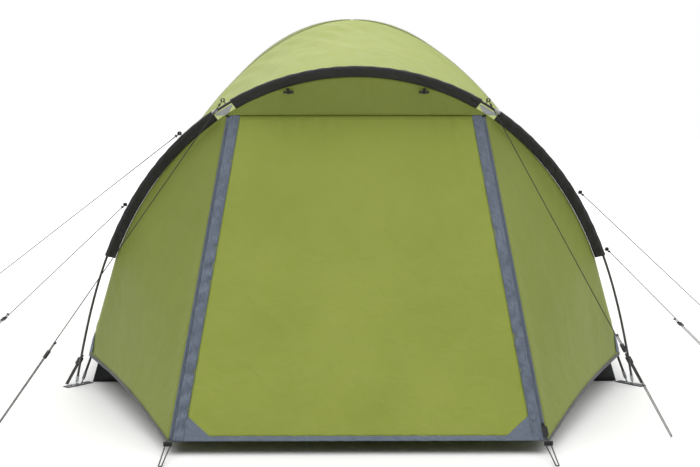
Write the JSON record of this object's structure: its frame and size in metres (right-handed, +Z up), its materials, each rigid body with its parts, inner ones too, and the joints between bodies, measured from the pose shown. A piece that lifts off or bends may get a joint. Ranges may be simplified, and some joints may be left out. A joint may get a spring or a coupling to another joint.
{
  "type": "dome tent with porch",
  "caption": "Dome tent on crossed poles with a hooped porch, a zipped porch door, an inner sleeping cabin and adjustable guylines.",
  "frame": {"origin": "middle of the sleeping cabin floor, on the ground", "axes": "+X to the right seen from the porch, +Y from the porch to the rear, +Z up"},
  "size_m": [3.3208, 3.3301, 1.2629],
  "materials": {
    "fly_green": "satin coated polyester",
    "fly_green_shade": "satin coated polyester",
    "trim_grey": "blue-grey woven polyester",
    "patch_grey": "light grey woven polyester",
    "sleeve_black": "black woven polyester",
    "hem_binding": "dark grey woven tape",
    "webbing": "black woven webbing",
    "zip_grey": "grey moulded coil on woven tape",
    "black_plastic": "moulded black acetal",
    "pole_fibreglass": "pultruded fibreglass",
    "pole_steel": "zinc-plated steel",
    "shock_cord": "white braided cover over rubber",
    "cord_black": "black braided polyester",
    "groundsheet_black": "woven polyethylene",
    "inner_mesh": "breathable woven polyester"
  },
  "bodies": {
    "tent": {"main_pole_left_front": "pole_fibreglass", "main_pole_right_front": "pole_fibreglass", "hoop_pole": "pole_fibreglass", "pole_ferrules": "pole_steel", "pole_tips": "pole_steel", "shock_cords": "shock_cord", "sleeve_left": "sleeve_black", "sleeve_brow": "sleeve_black", "sleeve_right": "sleeve_black", "roof_panel": "fly_green", "left_side_panel": "fly_green_shade", "right_side_panel": "fly_green_shade", "rear_panel": "fly_green_shade", "porch_left_panel": "fly_green_shade", "porch_right_panel": "fly_green_shade", "porch_header": "fly_green_shade", "door_zips": "zip_grey", "shoulder_patches": "patch_grey", "fly_corner_patches": "trim_grey", "fly_hems": "hem_binding", "corner_straps": "webbing", "ladder_locks": "black_plastic", "brow_toggles": "black_plastic", "toggle_loops": "webbing", "guy_loops": "webbing", "groundsheet": "groundsheet_black", "inner_front_wall": "inner_mesh", "inner_left_wall": "inner_mesh", "inner_right_wall": "inner_mesh", "inner_rear_wall": "inner_mesh", "cabin_clips": "black_plastic", "corner_webbings": "webbing", "pole_eyelets": "pole_steel", "peg_eyelets": "pole_steel", "peg_loop_left": "cord_black", "peg_loop_right": "cord_black", "peg_rings": "webbing", "guyline_1": "cord_black", "guyline_2": "cord_black", "guyline_3": "cord_black", "guyline_4": "cord_black", "guyline_5": "cord_black", "guyline_6": "cord_black"},
    "porch_door": {"porch_door": "fly_green", "left_door_flap": "trim_grey", "right_door_flap": "trim_grey", "door_hem": "trim_grey", "door_corner_patches": "trim_grey"},
    "left_zip_slider": {"left_zip_slider": "black_plastic"},
    "right_zip_slider": {"right_zip_slider": "black_plastic"},
    "left_zip_puller": {"left_zip_puller": "black_plastic"},
    "right_zip_puller": {"right_zip_puller": "black_plastic"},
    "inner_door": {"inner_door": "inner_mesh"},
    "tensioner_1": {"tensioner_1": "black_plastic"},
    "tensioner_2": {"tensioner_2": "black_plastic"},
    "tensioner_3": {"tensioner_3": "black_plastic"},
    "tensioner_4": {"tensioner_4": "black_plastic"},
    "tensioner_5": {"tensioner_5": "black_plastic"},
    "tensioner_6": {"tensioner_6": "black_plastic"}
  },
  "joints": [
    {"name": "porch_door_hinge", "type": "hinge", "parent": "tent", "child": "porch_door", "pos_m": [0, -1.43414, 0.99724], "axis": [-1, 0, 0], "range_deg": [0, 75]},
    {"name": "left_zip_run", "type": "slide", "parent": "tent", "child": "left_zip_slider", "axis": [0.1334, 0.5308, 0.837], "range_m": [0, 1.02]},
    {"name": "left_puller_hinge", "type": "hinge", "parent": "left_zip_slider", "child": "left_zip_puller", "pos_m": [-0.57045, -2.00805, 0.0818], "axis": [0.9911, -0.0714, -0.1126], "range_deg": [0, 140]},
    {"name": "right_zip_run", "type": "slide", "parent": "tent", "child": "right_zip_slider", "axis": [-0.1334, 0.5308, 0.837], "range_m": [0, 1.02]},
    {"name": "right_puller_hinge", "type": "hinge", "parent": "right_zip_slider", "child": "right_zip_puller", "pos_m": [0.57045, -2.01784, 0.08801], "axis": [-0.9911, -0.0714, -0.1126], "range_deg": [0, 140]},
    {"name": "inner_door_hinge", "type": "hinge", "parent": "tent", "child": "inner_door", "pos_m": [0, -0.96337, 0.17048], "axis": [1, 0, 0], "range_deg": [0, 110]},
    {"name": "tensioner_1_slide", "type": "slide", "parent": "tent", "child": "tensioner_1", "axis": [0.5454, 0.3047, 0.7808], "range_m": [-0.2, 0.02]},
    {"name": "tensioner_2_slide", "type": "slide", "parent": "tent", "child": "tensioner_2", "axis": [-0.4459, 0.3254, 0.8339], "range_m": [-0.2, 0.02]},
    {"name": "tensioner_3_slide", "type": "slide", "parent": "tent", "child": "tensioner_3", "axis": [0.6302, -0.5953, 0.4985], "range_m": [-0.2, 0.02]},
    {"name": "tensioner_4_slide", "type": "slide", "parent": "tent", "child": "tensioner_4", "axis": [0.5528, -0.6435, 0.5294], "range_m": [-0.2, 0.02]},
    {"name": "tensioner_5_slide", "type": "slide", "parent": "tent", "child": "tensioner_5", "axis": [-0.5514, -0.6615, 0.5083], "range_m": [-0.2, 0.02]},
    {"name": "tensioner_6_slide", "type": "slide", "parent": "tent", "child": "tensioner_6", "axis": [-0.5225, -0.6754, 0.5205], "range_m": [-0.2, 0.02]}
  ]
}
